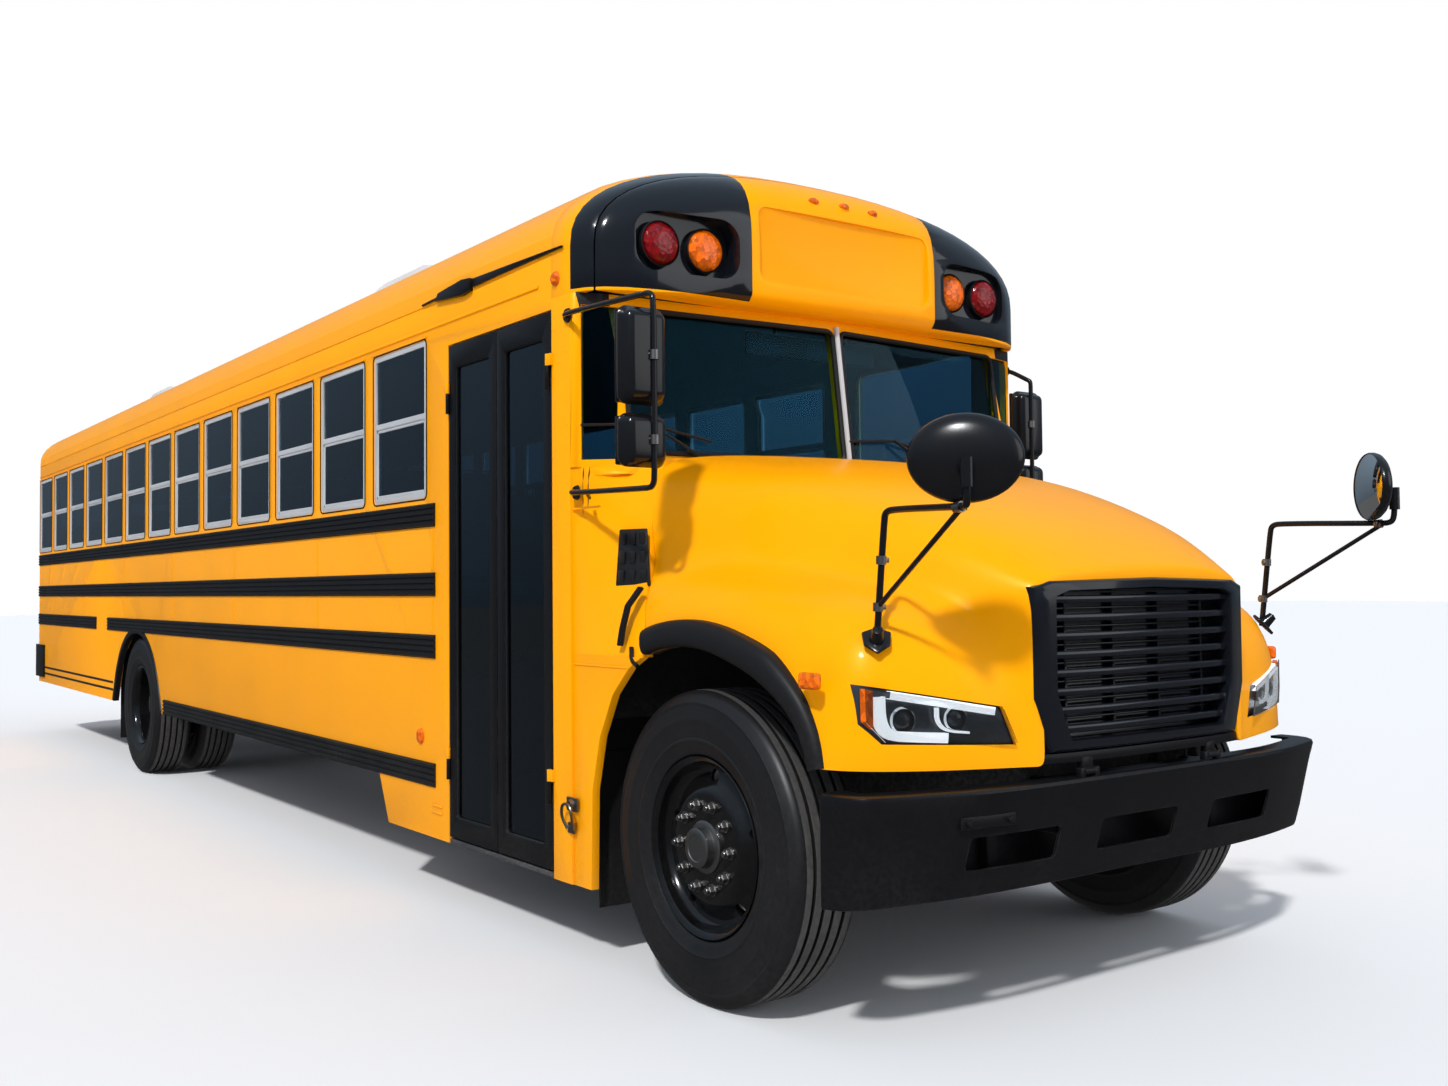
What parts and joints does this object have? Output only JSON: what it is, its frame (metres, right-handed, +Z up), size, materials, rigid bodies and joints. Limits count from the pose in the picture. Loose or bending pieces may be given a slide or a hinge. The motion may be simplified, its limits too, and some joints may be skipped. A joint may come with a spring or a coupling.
{
  "type": "school bus",
  "caption": "Yellow conventional school bus with a tilting hood, outward opening entrance door, rear emergency door, stop arm, steered front and twin rear wheels.",
  "frame": {"origin": "on the ground, under the middle of the overall box", "axes": "+X forward, +Y to the driver's left, +Z up"},
  "size_m": [12.9856, 2.84, 3.33],
  "materials": {
    "body_yellow": "gloss enamel",
    "black_paint": "semi-gloss enamel",
    "chassis_black": "satin chassis paint with road dust",
    "black_gloss": "gloss moulding",
    "black_rubber": "ribbed, satin",
    "tyre": "ribbed tread rubber",
    "wheel_black": "gloss enamel",
    "aluminium": "mill finish",
    "glass": "tinted",
    "red_lens": "fluted lens",
    "amber_lens": "fluted lens",
    "lamp_housing": "clear lens over dark housing",
    "shell_white": "gelcoat",
    "floor_dark": "ribbed floor covering on primed steel",
    "seat_vinyl": "padded upholstery",
    "dash_plastic": "grained",
    "cast_steel": "bare casting",
    "exhaust_steel": "heat-stained",
    "stop_red": "reflective sheet"
  },
  "bodies": {
    "bus": {"chassis_frame": "chassis_black", "floor": "floor_dark", "stepwell": "floor_dark", "right_side_wall": "body_yellow", "left_side_wall": "body_yellow", "rear_wall": "body_yellow", "roof": "body_yellow", "front_cap": "body_yellow", "lamp_shrouds": "black_gloss", "cowl": "body_yellow", "window_glass": "glass", "side_window_frames": "aluminium", "rub_rails": "black_rubber", "front_bumper": "black_paint", "rear_bumper": "black_paint", "side_mirrors": "black_gloss", "red_lamps": "red_lens", "amber_lamps": "amber_lens", "roof_units": "shell_white", "passenger_seats": "seat_vinyl", "driver_seat": "seat_vinyl", "dashboard": "dash_plastic", "engine": "cast_steel", "front_axle": "chassis_black", "rear_axle": "chassis_black", "leaf_springs": "chassis_black", "driveshaft": "chassis_black", "fuel_tank": "chassis_black", "exhaust": "exhaust_steel", "mud_flaps": "black_rubber"},
    "steering_wheel": {"steering_wheel": "dash_plastic"},
    "hood": {"hood": "body_yellow", "grille": "black_gloss", "headlights": "lamp_housing", "fender_flares": "black_rubber", "crossview_mirrors": "black_gloss"},
    "entrance_front_leaf": {"entrance_door_front": "black_paint", "entrance_glass_front": "glass"},
    "entrance_rear_leaf": {"entrance_door_rear": "black_paint", "entrance_glass_rear": "glass"},
    "emergency_door": {"emergency_door": "body_yellow", "emergency_door_glass": "glass"},
    "stop_arm": {"stop_arm": "stop_red"},
    "left_knuckle": {"left_knuckle": "chassis_black"},
    "right_knuckle": {"right_knuckle": "chassis_black"},
    "front_left_wheel": {"front_left_tyre": "tyre", "front_left_wheel": "wheel_black"},
    "front_right_wheel": {"front_right_tyre": "tyre", "front_right_wheel": "wheel_black"},
    "rear_left_wheels": {"rear_left_tyres": "tyre", "rear_left_wheels": "wheel_black"},
    "rear_right_wheels": {"rear_right_tyres": "tyre", "rear_right_wheels": "wheel_black"}
  },
  "joints": [
    {"name": "steer_left", "type": "hinge", "parent": "bus", "child": "left_knuckle", "pos_m": [5.22125, 0.8, 0.525], "axis": [0, 0, 1], "range_deg": [-38, 38]},
    {"name": "steer_right", "type": "hinge", "parent": "bus", "child": "right_knuckle", "pos_m": [5.22125, -0.8, 0.525], "axis": [0, 0, 1], "range_deg": [-38, 38]},
    {"name": "steering_wheel_turn", "type": "hinge", "parent": "bus", "child": "steering_wheel", "pos_m": [3.99125, 0.6, 1.74], "axis": [-0.6157, 0, 0.788], "range_deg": [-688, 688]},
    {"name": "front_left_spin", "type": "hinge", "parent": "left_knuckle", "child": "front_left_wheel", "pos_m": [5.22125, 1.03, 0.525], "axis": [0, 1, 0], "continuous": true},
    {"name": "front_right_spin", "type": "hinge", "parent": "right_knuckle", "child": "front_right_wheel", "pos_m": [5.22125, -1.03, 0.525], "axis": [0, 1, 0], "continuous": true},
    {"name": "rear_left_spin", "type": "hinge", "parent": "bus", "child": "rear_left_wheels", "pos_m": [-2.26875, 1.062, 0.525], "axis": [0, 1, 0], "continuous": true},
    {"name": "rear_right_spin", "type": "hinge", "parent": "bus", "child": "rear_right_wheels", "pos_m": [-2.26875, -1.062, 0.525], "axis": [0, 1, 0], "continuous": true},
    {"name": "entrance_front_swing", "type": "hinge", "parent": "bus", "child": "entrance_front_leaf", "pos_m": [4.32525, -1.229, 1.4], "axis": [0, 0, 1], "range_deg": [0, 90]},
    {"name": "entrance_rear_swing", "type": "hinge", "parent": "bus", "child": "entrance_rear_leaf", "pos_m": [3.42125, -1.229, 1.4], "axis": [0, 0, 1], "range_deg": [-90, 0]},
    {"name": "emergency_door_swing", "type": "hinge", "parent": "bus", "child": "emergency_door", "pos_m": [-6.41875, -0.433, 1.7], "axis": [0, 0, 1], "range_deg": [0, 120]},
    {"name": "hood_tilt", "type": "hinge", "parent": "bus", "child": "hood", "pos_m": [6.18125, 0, 0.806], "axis": [0, 1, 0], "range_deg": [0, 60]},
    {"name": "stop_arm_swing", "type": "hinge", "parent": "bus", "child": "stop_arm", "pos_m": [3.29125, 1.245, 1.56], "axis": [0, 0, -1], "range_deg": [0, 90]}
  ],
  "couplings": [
    {"joint": "steer_right", "follows": "steer_left", "ratio": 1},
    {"joint": "steering_wheel_turn", "follows": "steer_left", "ratio": 18},
    {"joint": "entrance_rear_swing", "follows": "entrance_front_swing", "ratio": -1}
  ]
}
